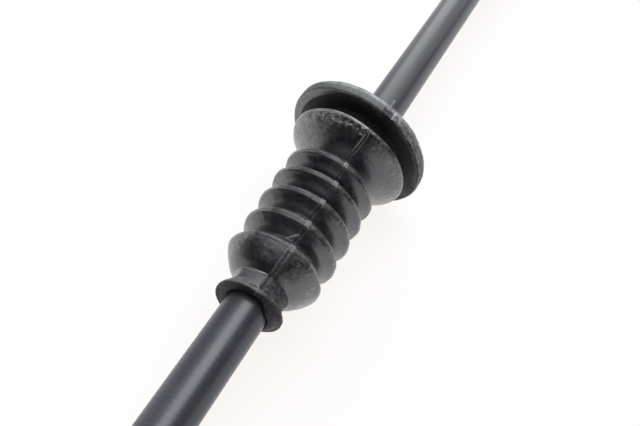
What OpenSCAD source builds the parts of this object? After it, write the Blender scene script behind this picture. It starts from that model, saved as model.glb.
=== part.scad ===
// Cable shutter release with a bellows grommet on its sheath.
// Everything is coaxial with X. The thumb end points to -X, the camera tip to +X.
// The origin is the centre of the grommet's panel groove. Lengths are millimetres.

/* [Cable] */
// outside diameter of the sheath
sheath_od = 5.0; // [4.9:0.05:5.0]
// diameter of the steel inner wire
wire_d = 1.2; // [1.0:0.05:1.25]

/* [Grommet] */
// outside radius of the bellows crests
crest_r = 5.7; // [5.3:0.1:5.9]
// outside radius of the bellows valleys
valley_r = 3.75; // [3.6:0.05:3.9]
// radius of the shoulder in front of the panel groove
shoulder_r = 7.8; // [7.4:0.1:8.0]
// radius of the panel groove's floor
neck_r = 6.2; // [6.1:0.05:6.4]
// width of the panel groove
groove_w = 1.8; // [1.4:0.1:2.0]
// outside radius of the flange behind the panel
flange_r = 9.0; // [8.8:0.05:9.1]
// wall of the rubber moulding
rubber_wall = 0.8; // [0.6:0.05:0.85]

/* [Hand end] */
// radius of the thumb button
button_r = 5.6; // [5.0:0.1:6.0]
// radius of the finger plate across its wings
plate_r = 13.0; // [11.5:0.25:14.0]
// number of turns in the return spring
spring_turns = 7; // [5:1:7]
// radius of the spring wire
spring_wire_r = 0.3; // [0.25:0.01:0.3]

/* [Camera tip] */
// outside radius of the swivel nut
nut_r = 4.4; // [4.2:0.1:4.8]
// length of the tapered thread
nose_len = 6.2; // [5.5:0.1:6.5]
// radius of the nose at its end
nose_end_r = 1.4; // [1.35:0.05:1.5]

/* [Hidden] */

$fn = 96;
eps = 0.01;
fit = 0.05;

sheath_r = sheath_od / 2;
conduit_r = 1.7;
liner_r = 1.0;
wire_r = wire_d / 2;
liner_bore = wire_r + 0.08;
sheath_x0 = -66;
sheath_x1 = 70;

rod_r = 1.5;
rod_x0 = -122.4;
rod_x1 = -78.6;
collar_r = 3.15;
barrel_bore = 3.2;
barrel_step = -86;
barrel_x0 = -97;
barrel_x1 = -62;
barrel_r = 4.5;
spigot_r = 3.3;
cap_r = 4.6;
ferrule_r = 3.2;
bead_r = 4.1;

cuff_x0 = -26;
cuff_x1 = -23.3;
crest_x = [-20.5, -16.95, -13.4, -10.0, -6.65];
flange_x0 = -4.4;
convolutions = len(crest_x);

hub_x = -117;
button_x0 = -124;
cap_x0 = -101.7;
plate_x0 = -98.6;
plate_x1 = -97;
spring_seat = -100.7;
spring_r = 2.25;
screw_x = -90.5;

tip_shoulder = 71.9;
nose_x0 = 75.4;
nut_x1 = 79.4;

// profile (radius, x) turned round the X axis
module turned() {
    rotate([0, 90, 0]) rotate_extrude() children();
}

// plain ring or rod from a to b
module ring(a, b, outer, inner) {
    turned() translate([inner, a]) square([outer - inner, b - a]);
}

// straight cut lines for a knurl round the X axis
module knurl_cuts(a, b, r, count, depth) {
    for (i = [0 : count - 1])
        rotate([i * 360 / count, 0, 0])
            translate([(a + b) / 2, 0, r + depth * 0.35])
                rotate([45, 0, 0])
                    cube([b - a, depth * 1.6, depth * 1.6], center = true);
}

module thumb_button() {
    rim = 0.5;
    difference() {
        turned() polygon([
            [0, button_x0], [button_r - rim, button_x0], [button_r, button_x0 + rim],
            [button_r, button_x0 + 2.2], [button_r - 0.4, button_x0 + 2.7],
            [3.1, button_x0 + 3.4], [2.9, button_x0 + 4], [2.9, hub_x - 0.3],
            [2.6, hub_x], [0, hub_x]]);
        ring(rod_x0, hub_x + eps, rod_r, 0);
    }
}

module plunger_rod() {
    chamfer = 0.25;
    seat = 5.4;
    difference() {
        turned() polygon([
            [0, rod_x0], [rod_r - chamfer, rod_x0], [rod_r, rod_x0 + chamfer],
            [rod_r, rod_x1 - chamfer], [rod_r - chamfer, rod_x1], [0, rod_x1]]);
        ring(rod_x1 - seat, rod_x1 + eps, wire_r, 0);
    }
}

module rod_stop_collar() {
    chamfer = 0.2;
    turned() polygon([
        [rod_r, barrel_step], [collar_r - chamfer, barrel_step],
        [collar_r, barrel_step + chamfer], [collar_r, barrel_step + 2 - chamfer],
        [collar_r - chamfer, barrel_step + 2], [rod_r, barrel_step + 2]]);
}

// one unbroken wound tube; its ends run straight along the wire for one diameter
rings_per_turn = 8;
tube_sides = 6;
spring_a = hub_x + spring_wire_r + 0.02;
spring_b = spring_seat - spring_wire_r - 0.02;
spring_rings = spring_turns * rings_per_turn;
spring_pitch = (spring_b - spring_a) / spring_turns;
function spring_at(k) = let (t = k / spring_rings, a = 360 * spring_turns * t)
    [spring_a + (spring_b - spring_a) * t, spring_r * cos(a), spring_r * sin(a)];
function spring_dir(k) = let (a = 360 * spring_turns * k / spring_rings)
    let (v = [spring_pitch / 360 * 180 / PI / spring_r, -sin(a), cos(a)]) v / norm(v);
function spring_centres() = concat(
    [spring_at(0) - spring_dir(0) * 2 * spring_wire_r],
    [for (k = [0 : spring_rings]) spring_at(k)],
    [spring_at(spring_rings) + spring_dir(spring_rings) * 2 * spring_wire_r]);
function spring_dirs() = concat(
    [spring_dir(0)], [for (k = [0 : spring_rings]) spring_dir(k)], [spring_dir(spring_rings)]);

module return_spring() {
    c = spring_centres();
    d = spring_dirs();
    n = len(c);
    s = tube_sides;
    points = [for (k = [0 : n - 1]) let (u = cross(d[k], [1, 0, 0]), e = u / norm(u), g = cross(d[k], e))
        for (j = [0 : s - 1]) c[k] + spring_wire_r * (cos(j * 360 / s) * e + sin(j * 360 / s) * g)];
    sides = [for (k = [0 : n - 2]) for (j = [0 : s - 1])
        [k * s + j, k * s + (j + 1) % s, (k + 1) * s + (j + 1) % s, (k + 1) * s + j]];
    ends = [[for (j = [0 : s - 1]) s - 1 - j], [for (j = [0 : s - 1]) (n - 1) * s + j]];
    polyhedron(points, concat(sides, ends), convexity = 8);
}

module barrel_cap() {
    rim = 0.4;
    difference() {
        turned() polygon([
            [rod_r + fit, cap_x0 + 1], [rod_r + fit + 1.5, cap_x0 + 1],
            [rod_r + fit + 1.5, cap_x0], [cap_r - rim, cap_x0], [cap_r, cap_x0 + rim],
            [cap_r, plate_x0 - rim], [cap_r - rim, plate_x0], [spigot_r, plate_x0],
            [spigot_r, plate_x0 - 1.5], [rod_r + fit, plate_x0 - 1.5]]);
        knurl_cuts(cap_x0 + 0.7, plate_x0 - 0.6, cap_r, 24, 0.35);
    }
}

module finger_plate() {
    flat = flange_r;
    intersection() {
        turned() polygon([
            [3.32, plate_x0], [6, plate_x0], [10.5, -98.2], [plate_r - 0.9, -97.5],
            [plate_r - 0.2, -97.1], [plate_r, -96.5], [plate_r - 0.2, -96.1],
            [plate_r - 0.7, -95.9], [plate_r - 1.2, -96.2], [10.5, -96.8],
            [6, plate_x1], [3.32, plate_x1]]);
        translate([plate_x1, 0, 0]) cube([6, 3 * plate_r, 2 * flat], center = true);
    }
}

module barrel() {
    difference() {
        union() {
            turned() polygon([
                [1, -100], [2.9, -100], [spigot_r, -99.6], [spigot_r, plate_x1],
                [5.1, plate_x1], [5.4, -96.7],
                [5.4, -95.2], [5.1, -94.9], [4.6, -94.7], [4.6, -94.1], [barrel_r, -93.8],
                [barrel_r, -86.6], [4.35, -86.4], [4.35, -85.8], [4.6, -85.5], [4.6, -84.7],
                [4.35, -84.4], [4.35, -83.8], [barrel_r, -83.6], [4.35, -75], [3.95, -66.4],
                [3.95, -65.6], [4.3, -65.2], [4.3, -62.4], [4.0, -62], [1, -62]]);
            translate([screw_x, 0, 0]) cylinder(r = 2.4, h = 5.9);
        }
        ring(-102, barrel_step + eps, rod_r + fit, 0);
        ring(barrel_step, -61, barrel_bore, 0);
        translate([screw_x, 0, 0]) cylinder(r = 1.25, h = 8);
    }
}

module lock_screw() {
    knob_z = 6.3;
    translate([screw_x, 0, 0]) {
        difference() {
            union() {
                translate([0, 0, rod_r + 0.4]) cylinder(r1 = 0.8, r2 = 1.2, h = 0.4);
                translate([0, 0, rod_r + 0.8 - eps]) cylinder(r = 1.2, h = knob_z - rod_r);
                translate([0, 0, knob_z]) cylinder(r1 = 2.3, r2 = 2.7, h = 0.4);
                translate([0, 0, knob_z + 0.4]) cylinder(r = 2.7, h = 2.2);
                translate([0, 0, knob_z + 2.6]) cylinder(r1 = 2.7, r2 = 2.3, h = 0.4);
            }
            for (i = [0 : 15])
                rotate([0, 0, i * 22.5]) translate([2.85, 0, knob_z + 1.5])
                    rotate([0, 0, 45]) cube([0.6, 0.6, 2.0], center = true);
        }
    }
}

module hand_ferrule() {
    turned() polygon([
        [liner_r, -68], [barrel_bore - 0.2, -68], [barrel_bore, -67.8], [barrel_bore, -62],
        [3.9, -62], [bead_r, -61.8], [bead_r, -61.2], [3.9, -61], [ferrule_r, -60.6],
        [ferrule_r, -52.2],
        [3.0, -52], [sheath_r, -52], [sheath_r, sheath_x0], [liner_r, sheath_x0]]);
}

module hand_strain_relief() {
    turned() polygon([
        [3.2, -60.4], [4.1, -60.4], [4.25, -60.1], [4.25, -58.9], [3.85, -58.6], [3.85, -58],
        [4.1, -57.7], [4.05, -56.7], [3.7, -56.4], [3.7, -55.8], [3.95, -55.5], [3.85, -54.5],
        [3.5, -54.2], [3.5, -53.6], [3.75, -53.3], [3.65, -52.3], [3.3, -52], [3.25, -51.4],
        [3.5, -51.1], [3.4, -50.1], [3.1, -49.8], [3.05, -49.2], [3.25, -48.9], [3.15, -47.9],
        [2.9, -47.5], [2.8, -46.4], [2.65, -46.2], [sheath_r, -46.2], [sheath_r, -52],
        [3.2, -52]]);
}

module sheath() {
    ring(sheath_x0, sheath_x1, sheath_r, conduit_r);
}

module conduit() {
    ring(sheath_x0, sheath_x1, conduit_r, liner_r);
}

module liner() {
    ring(sheath_x0, sheath_x1, liner_r, liner_bore);
}

module inner_wire() {
    ring(rod_x1 - 5.4, 75.2, wire_r, 0);
}

module grommet_cuff() {
    turned() polygon([
        [3.35, cuff_x0], [3.75, cuff_x0], [3.9, cuff_x0 + 0.15], [3.85, cuff_x0 + 0.45],
        [3.5, cuff_x0 + 0.95], [3.2, cuff_x0 + 1.5], [3.12, cuff_x0 + 1.9],
        [3.18, cuff_x0 + 2.35], [3.27, cuff_x1], [sheath_r, cuff_x1],
        [sheath_r, cuff_x0 + 1.7], [2.75, cuff_x0 + 1.1]]);
}

// outline points of one fold: rise on the cuff side, narrow crest, fall on the far side
function fold(x, x0, x1, rc, r0, r1) = [
    [r0, x0], [r0 + (rc - r0) * 0.42, x0 + (x - x0) * 0.24],
    [r0 + (rc - r0) * 0.78, x0 + (x - x0) * 0.60], [rc - 0.1, x - 0.22], [rc, x],
    [rc - 0.12, x + 0.2], [r1 + (rc - r1) * 0.62, x + (x1 - x) * 0.48],
    [r1 + (rc - r1) * 0.2, x + (x1 - x) * 0.82]];
function valley_x(i) = i <= 0 ? cuff_x1 : i >= convolutions ? flange_x0
    : (crest_x[i - 1] + crest_x[i]) / 2 + 0.15;
function valley_at(i) = i <= 0 ? 3.27 : i >= convolutions ? valley_r + 0.15 : valley_r;
outer_line = [for (i = [0 : convolutions - 1])
    each fold(crest_x[i], valley_x(i), valley_x(i + 1), crest_r, valley_at(i), valley_at(i + 1))];
bore_r0 = 2.62;
inner_line = [for (i = [convolutions - 1 : -1 : 0]) each [
    [valley_at(i + 1) - rubber_wall, valley_x(i + 1)],
    [crest_r - rubber_wall - 0.35, crest_x[i] + 0.25],
    [crest_r - rubber_wall - 0.35, crest_x[i] - 0.25]]];

module bellows() {
    turned() polygon(concat(outer_line,
        [[valley_at(convolutions), flange_x0]], inner_line, [[bore_r0, cuff_x1]]));
}

module grommet_flange() {
    h = groove_w / 2;
    r0 = valley_at(convolutions);
    turned() polygon([
        [r0, flange_x0], [4.35, -4.1], [5.0, -3.72], [5.9, -3.1], [shoulder_r - 0.9, -2.35],
        [shoulder_r - 0.35, -1.85], [shoulder_r - 0.1, -1.5], [shoulder_r, -1.25],
        [shoulder_r - 0.1, -0.98], [shoulder_r - 0.35, -h], [neck_r, -h], [neck_r, h],
        [flange_r - 0.8, h], [flange_r - 0.25, h + 0.2], [flange_r - 0.05, h + 0.55],
        [flange_r, h + 0.9], [flange_r - 0.1, h + 1.4], [flange_r - 0.5, h + 1.8],
        [flange_r - 1.6, h + 2.05],
        [6.0, h + 2.1], [5.5, h + 2.1], [5.3, h + 1.9], [5.3, -0.4], [5.0, -1.6],
        [3.6, -3.7], [r0 - rubber_wall, flange_x0]]);
}

module tip_strain_relief() {
    turned() polygon([
        [sheath_r, 50.2], [2.65, 50.2], [2.8, 50.4], [2.9, 51.5], [3.15, 51.9], [3.25, 52.9],
        [3.05, 53.2], [3.1, 53.8], [3.4, 54.1], [3.5, 55.1], [3.25, 55.4], [3.3, 56],
        [3.65, 56.3], [3.75, 57.3], [3.5, 57.6], [3.5, 58.2], [3.85, 58.5], [3.95, 59.5],
        [3.7, 59.8], [3.7, 60.4], [4.05, 60.7], [4.1, 61.7], [3.85, 62], [3.85, 62.6],
        [4.1, 62.9], [4.1, 64.1], [3.95, 64.4], [3.2, 64.4], [3.2, 56], [sheath_r, 56]]);
}

module tip_ferrule() {
    journal_r = 2.0;
    groove_r = 1.5;
    turned() polygon([
        [sheath_r, 56], [3.0, 56], [ferrule_r, 56.2], [ferrule_r, 64.6], [3.9, 65],
        [bead_r, 65.2], [bead_r, 66], [3.9, 66.2], [3.4, 66.4], [3.4, 67.4], [3.9, 67.6],
        [bead_r, 67.8], [bead_r, tip_shoulder - 0.2], [3.9, tip_shoulder],
        [journal_r, tip_shoulder],
        [journal_r, 74.05], [groove_r, 74.05], [groove_r, 74.75], [journal_r, 74.75],
        [journal_r, 75.0], [journal_r - 0.2, 75.2], [0.85, 75.2], [0.85, sheath_x1],
        [sheath_r, sheath_x1]]);
}

module swivel_nut() {
    x0 = tip_shoulder + fit;
    difference() {
        turned() polygon([
            [2.05, x0], [nut_r - 0.4, x0], [nut_r, x0 + 0.4], [nut_r, x0 + 1],
            [nut_r - 0.25, x0 + 1.2], [nut_r - 0.25, x0 + 1.5], [nut_r, x0 + 1.7],
            [nut_r, nut_x1 - 0.5], [nut_r - 0.5, nut_x1], [2.6, nut_x1], [2.6, nose_x0],
            [3.0, nose_x0], [3.0, 74.0], [2.05, 74.0]]);
        knurl_cuts(x0 + 2.0, nut_x1 - 0.8, nut_r, 28, 0.35);
    }
}

module swivel_clip() {
    difference() {
        ring(74.1, 74.7, 2.7, 1.5);
        translate([74.4, 0, 2]) cube([1, 2.2, 3], center = true);
    }
}

module threaded_nose() {
    land_r = 1.9;
    x1 = nut_x1 + 1;
    end = x1 + nose_len;
    turned() polygon([
        [0.85, nose_x0 + eps], [2.6, nose_x0 + eps], [2.6, nut_x1], [land_r, nut_x1],
        [land_r, x1], [1.8, x1 + 0.1], [nose_end_r + 0.1, end - 0.4],
        [nose_end_r - 0.1, end], [0.85, end]]);
}

module tip_pin() {
    pin_r = 0.8;
    x0 = 70.4;
    x1 = nut_x1 + 1 + nose_len - 0.4;
    difference() {
        turned() polygon([
            [0, x0], [pin_r - 0.1, x0], [pin_r, x0 + 0.1], [pin_r, x1 - 0.3],
            [pin_r - 0.3, x1], [0, x1]]);
        ring(x0 - eps, 75.2, wire_r, 0);
    }
}

// least distance between the spring's wire surfaces one or more turns apart
gap_steps = spring_turns * rings_per_turn;
spring_gap = min([for (i = [0 : gap_steps]) for (j = [i + 5 : gap_steps])
    if (j <= gap_steps) norm(spring_at(i) - spring_at(j))]) - 2 * spring_wire_r;
echo(spring_gap = spring_gap);

color([0.80, 0.81, 0.82]) thumb_button();
color([0.70, 0.71, 0.72]) plunger_rod();
color([0.78, 0.66, 0.38]) rod_stop_collar();
color([0.62, 0.63, 0.65]) return_spring();
color([0.78, 0.79, 0.80]) barrel_cap();
color([0.74, 0.75, 0.76]) finger_plate();
color([0.80, 0.81, 0.82]) barrel();
color([0.72, 0.73, 0.74]) lock_screw();
color([0.76, 0.77, 0.78]) hand_ferrule();
color([0.10, 0.10, 0.11]) hand_strain_relief();
color([0.20, 0.20, 0.22]) sheath();
color([0.55, 0.56, 0.58]) conduit();
color([0.88, 0.88, 0.86]) liner();
color([0.60, 0.61, 0.63]) inner_wire();
color([0.09, 0.09, 0.10]) grommet_cuff();
color([0.08, 0.08, 0.09]) bellows();
color([0.09, 0.09, 0.10]) grommet_flange();
color([0.10, 0.10, 0.11]) tip_strain_relief();
color([0.76, 0.77, 0.78]) tip_ferrule();
color([0.80, 0.81, 0.82]) swivel_nut();
color([0.50, 0.51, 0.53]) swivel_clip();
color([0.82, 0.68, 0.38]) threaded_nose();
color([0.70, 0.71, 0.72]) tip_pin();
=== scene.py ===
# %% [markdown]
# # A cable shutter release with a bellows grommet
#
# A thumb button pushes a steel wire through a flexible sheath, and a pin at the far end trips the
# shutter. Half way along, a rubber bellows grommet carries the sheath through a panel.
# Every piece is built round one straight axis, X, in the same frame as the solids, so most of them
# are turned forms: a profile that is swept round the axis. The solids say where each one goes.

import math

import bmesh
import bpy
import numpy as np
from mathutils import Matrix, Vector, noise


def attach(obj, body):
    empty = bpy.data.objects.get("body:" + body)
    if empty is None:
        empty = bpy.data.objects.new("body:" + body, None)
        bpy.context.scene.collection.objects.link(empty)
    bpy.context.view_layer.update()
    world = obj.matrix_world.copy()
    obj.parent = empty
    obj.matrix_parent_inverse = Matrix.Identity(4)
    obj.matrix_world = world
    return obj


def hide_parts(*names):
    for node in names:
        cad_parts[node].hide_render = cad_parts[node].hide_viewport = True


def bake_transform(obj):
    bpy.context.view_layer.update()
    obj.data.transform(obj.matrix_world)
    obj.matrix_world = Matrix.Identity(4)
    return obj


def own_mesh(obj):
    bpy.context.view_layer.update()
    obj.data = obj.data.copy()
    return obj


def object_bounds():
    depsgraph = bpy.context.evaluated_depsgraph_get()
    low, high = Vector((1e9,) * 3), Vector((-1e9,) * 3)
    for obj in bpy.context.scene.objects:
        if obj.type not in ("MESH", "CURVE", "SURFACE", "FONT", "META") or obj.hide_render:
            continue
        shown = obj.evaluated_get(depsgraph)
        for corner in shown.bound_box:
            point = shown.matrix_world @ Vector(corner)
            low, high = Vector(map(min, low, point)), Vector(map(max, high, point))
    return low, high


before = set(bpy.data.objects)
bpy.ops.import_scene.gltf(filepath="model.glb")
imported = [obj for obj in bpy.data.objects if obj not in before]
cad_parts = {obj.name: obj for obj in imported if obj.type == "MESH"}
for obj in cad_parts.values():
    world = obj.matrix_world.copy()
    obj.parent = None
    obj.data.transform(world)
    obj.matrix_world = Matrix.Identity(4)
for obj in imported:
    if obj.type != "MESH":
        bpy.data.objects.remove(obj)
cad_low, cad_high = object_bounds()
MM = 0.001

# %% [markdown]
# ## The camera
#
# The camera stands close above the cable, near the cuff, and looks down along it towards the tip.
# At that distance the near end looks much larger than the far end. A place, a direction and a lens
# say this plainly, so they are written as numbers rather than fitted by a constraint.

# %% Camera
camera_data = bpy.data.cameras.new("camera")
camera = bpy.data.objects.new("camera", camera_data)
bpy.context.scene.collection.objects.link(camera)
bpy.context.scene.camera = camera
camera_data.sensor_width = 36
camera_data.lens = 40.1
camera_data.clip_start = 0.002
camera_data.clip_end = 20
camera.location = Vector((-60.3, -25.65, 60.4)) * MM
look = Vector((0.6035, 0.3045, -0.7369))
camera.rotation_euler = look.to_track_quat("-Z", "Y").to_euler()
print("camera lens", camera_data.lens, "mm at", [round(c, 4) for c in camera.location])

# %% [markdown]
# ## Turned forms
#
# A lathe makes nearly every piece here. The line that it sweeps is a list of (x, radius) points.
# A sharp corner looks false in a render because no edge catches the light, so each corner is first
# cut to a small arc. A function may then move each point of the swept surface, for knurls, moulding
# lines and dents. Blender's Screw modifier would also turn a line, but it can't be shaped on the
# way.

# %% Cut each corner of a profile to a small arc
MOST_OF_A_SIDE = 0.42


def eased(line, size, steps=3, closed=True):
    out = []
    n = len(line)
    for i, p in enumerate(line):
        a, b, c = Vector(line[i - 1]), Vector(p), Vector(line[(i + 1) % n])
        on_axis = b.y < 1e-6
        if on_axis or (not closed and i in (0, n - 1)):
            out.append(tuple(p))
            continue
        to_a, to_c = a - b, c - b
        cut = min(size, MOST_OF_A_SIDE * to_a.length, MOST_OF_A_SIDE * to_c.length)
        start, end = b + to_a.normalized() * cut, b + to_c.normalized() * cut
        for k in range(steps + 1):
            t = k / steps
            q = start * (1 - t) ** 2 + b * 2 * t * (1 - t) + end * t**2
            out.append((q.x, q.y))
    return out


# %% A smooth line through a few points
def flowing(points, per=5):
    p = [Vector(q) for q in points]
    p = [p[0] * 2 - p[1]] + p + [p[-1] * 2 - p[-2]]
    out = []
    for i in range(1, len(p) - 2):
        for k in range(per):
            t = k / per
            a, b, c, d = p[i - 1], p[i], p[i + 1], p[i + 2]
            q = 0.5 * (2 * b + (c - a) * t + (2 * a - 5 * b + 4 * c - d) * t**2
                       + (3 * b - a - 3 * c + d) * t**3)
            out.append((q.x, q.y))
    out.append((p[-2].x, p[-2].y))
    return out


# %% Spread long stretches of a line into short steps
def stepped(line, step, closed=True):
    out = []
    n = len(line)
    for i in range(n if closed else n - 1):
        a, b = Vector(line[i]), Vector(line[(i + 1) % n])
        k = max(1, math.ceil((b - a).length / step))
        out += [tuple(a.lerp(b, j / k)) for j in range(k)]
    if not closed:
        out.append(tuple(line[-1]))
    return out


# %% Make a piece from points and faces, and write a mark on its points
WELD = 1e-8


def make_piece(name, points, faces, body, sharp=40):
    mesh = bpy.data.meshes.new(name)
    mesh.from_pydata((np.asarray(points) * MM).tolist(), [], faces)
    piece = bpy.data.objects.new(name, mesh)
    bpy.context.scene.collection.objects.link(piece)
    if body:
        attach(piece, body)
    piece["sharp_angle"] = sharp
    return piece


def settle_mesh(piece):
    bm = bmesh.new()
    bm.from_mesh(piece.data)
    bmesh.ops.remove_doubles(bm, verts=bm.verts, dist=WELD)
    bmesh.ops.recalc_face_normals(bm, faces=bm.faces)
    bm.to_mesh(piece.data)
    bm.free()
    piece.data.shade_smooth()
    piece.data.set_sharp_from_angle(angle=math.radians(piece["sharp_angle"]))
    print(piece.name, len(piece.data.vertices), "points")


def add_mark(piece, name, values):
    layer = piece.data.attributes.new(name, "FLOAT", "POINT")
    layer.data.foreach_set("value", np.asarray(values, np.float32).ravel())


# %% Sweep a profile round the X axis, or round an upright axis that stands at a point
def lathe(name, line, body, count=128, closed=True, shape=None, angles=None, marks=None,
          settle=None, upright=None):
    if angles is None:
        angles = np.linspace(0, 2 * math.pi, count, endpoint=False)
    turn = np.array(angles)[None, :]
    x = np.array([p[0] for p in line])[:, None] + 0 * turn
    r = np.array([p[1] for p in line])[:, None] + 0 * turn
    a = turn + 0 * x
    rows, cols = x.shape
    found = marks(x, r, a) if marks else {}
    if shape is not None:
        x, r, a = shape(x, r, a)
    y, z = r * np.sin(a), r * np.cos(a)
    if settle is not None:
        x, y, z = settle(x, y, z)
    if upright is not None:
        x, y, z = y + upright[0], z + upright[1], x
    points = np.stack([x, y, z], -1).reshape(-1, 3)
    i = np.arange(rows if closed else rows - 1)[:, None]
    j = np.arange(cols)[None, :]
    i2, j2 = (i + 1) % rows, (j + 1) % cols
    faces = np.stack([i * cols + j, i2 * cols + j, i2 * cols + j2, i * cols + j2], -1)
    piece = make_piece(name, points, faces.reshape(-1, 4).tolist(), body)
    for mark, value in found.items():
        add_mark(piece, mark, np.broadcast_to(value, (rows, cols)))
    settle_mesh(piece)
    return piece


# %% Finish a piece: what it stands for, its slot and its material
def paint(piece, material):
    piece.data.materials.clear()
    piece.data.materials.append(material)


def dress(piece, node, material):
    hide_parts(node)
    paint(piece, material)
    return piece


# %% [markdown]
# ## Materials
#
# All the finishes are shader nodes, so that they hold at any distance and cost no pictures.
# A small kit keeps each recipe short: one call makes a node, sets its inputs and links it.

# %% A short way to write shader nodes
class Recipe:
    def __init__(self, name, owner=None, end="OutputMaterial"):
        self.owner = owner or bpy.data.materials.new(name)
        self.owner.use_nodes = True
        self.tree = self.owner.node_tree
        self.tree.nodes.clear()
        self.end = self.tree.nodes.new("ShaderNode" + end)

    def fill(self, socket, value):
        if isinstance(value, bpy.types.NodeSocket):
            self.tree.links.new(value, socket)
        else:
            socket.default_value = value

    def node(self, kind, inputs=(), **settings):
        made = self.tree.nodes.new("ShaderNode" + kind)
        for key, value in settings.items():
            setattr(made, key, value)
        for key, value in dict(inputs).items():
            self.fill(made.inputs[key], value)
        return made

    def finish(self, shader):
        self.tree.links.new(shader.outputs[0], self.end.inputs["Surface"])
        return self.owner

    # Sums on values
    def math(self, work, a, b=0.0, clamp=False):
        return self.node("Math", {0: a, 1: b}, operation=work, use_clamp=clamp).outputs[0]

    def times(self, a, b, clamp=False):
        return self.math("MULTIPLY", a, b, clamp)

    def plus(self, a, b, clamp=False):
        return self.math("ADD", a, b, clamp)

    def ramp(self, value, stops):
        made = self.node("ValToRGB", {"Fac": value})
        band = made.color_ramp.elements
        while len(band) < len(stops):
            band.new(0.5)
        for element, (place, shade) in zip(band, stops):
            element.position = place
            element.color = (shade, shade, shade, 1)
        return made.outputs["Color"]

    def mix(self, share, a, b):
        made = self.node("Mix", data_type="RGBA")
        for key, value in ((0, share), (6, a), (7, b)):
            plain = isinstance(value, tuple)
            self.fill(made.inputs[key], (*value, 1) if plain else value)
        return made.outputs[2]

    # Places, noise and marks
    def place(self):
        return self.node("TexCoord").outputs["Object"]

    def mark(self, name):
        return self.node("Attribute", attribute_name=name).outputs["Fac"]

    def noise(self, where, scale, detail=4.0, rough=0.5):
        made = self.node("TexNoise", {"Vector": where, "Scale": scale, "Detail": detail,
                                      "Roughness": rough})
        return made.outputs["Fac"]

    def stretched(self, where, scale, detail=3.0, turn=(0, 0, 0)):
        made = self.node("Mapping", {"Vector": where, "Scale": scale, "Rotation": turn})
        return self.noise(made.outputs[0], 1.0, detail, 0.6)

    def wound(self, where, fine, around):
        part = self.node("SeparateXYZ", {0: where}).outputs
        angle = self.math("ARCTAN2", part[1], part[2])
        squares = self.plus(self.times(part[1], part[1]), self.times(part[2], part[2]))
        radius = self.math("SQRT", squares)
        parts = {0: self.times(part[0], fine), 1: self.times(radius, fine),
                 2: self.times(angle, around)}
        return self.noise(self.node("CombineXYZ", parts).outputs[0], 1.0, 3.0, 0.6)

    def bump(self, height, strength, distance):
        made = self.node("Bump", {"Height": height, "Strength": strength, "Distance": distance})
        return made.outputs["Normal"]

    def seen_directly(self):
        path = self.node("LightPath").outputs
        seen = self.math("MAXIMUM", path["Is Camera Ray"], path["Is Glossy Ray"])
        return self.math("MAXIMUM", seen, path["Is Transmission Ray"])


# %% [markdown]
# ### Moulded rubber
#
# Black rubber is never quite black: it reflects pale light softly, talc and dust settle on it, and
# the thin crests are rubbed to a grey-green. Some of the marks also paint light into the colour.
# The marks that drive this could be painted by hand, but here they are worked out from the profile
# and written on the mesh when it is turned, so they stay with the shape. They are laid over each
# other
# in this order:
#
# - `bare`, where the mould left a plain polished face, and a painted fill light in
#   the flange's groove,
# - `dust`, where grit has settled, and a painted reflection of the table far round
#   the flanks,
# - `scuff`, where fine lines are scraped along the way round,
# - `wear`, on the rubbed crests and rims, with a painted highlight on the crests and
#   the cuff's lip on the left of the moulding line,
# - `seam`, along the moulding line,
# - `pale`, for small nubs, specks and torn edges, and a faint painted highlight on the crests, the
#   cuff's lip and the flange's front.
#
# Noise breaks them all up. It drives the roughness too, because dusty rubber is rougher.

# %% Tones of the rubber
DEEP_BLACK, FILMED_BLACK = (0.0120, 0.0085, 0.0145), (0.023, 0.0180, 0.0255)
POLISHED_AND_FILL_LIGHT, DUST_AND_REFLECTION = (0.070, 0.078, 0.080), (0.740, 0.690, 0.685)
SCRAPED, RUBBED_AND_HIGHLIGHT = (0.170, 0.164, 0.170), (0.185, 0.210, 0.204)
SEAM_TONE, PALE = (0.200, 0.206, 0.208), (0.80, 0.83, 0.83)
STRAY_DUST, DUST_AND_REFLECTION_COVER, RUB_COVER = 0.12, 0.84, 0.75


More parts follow.
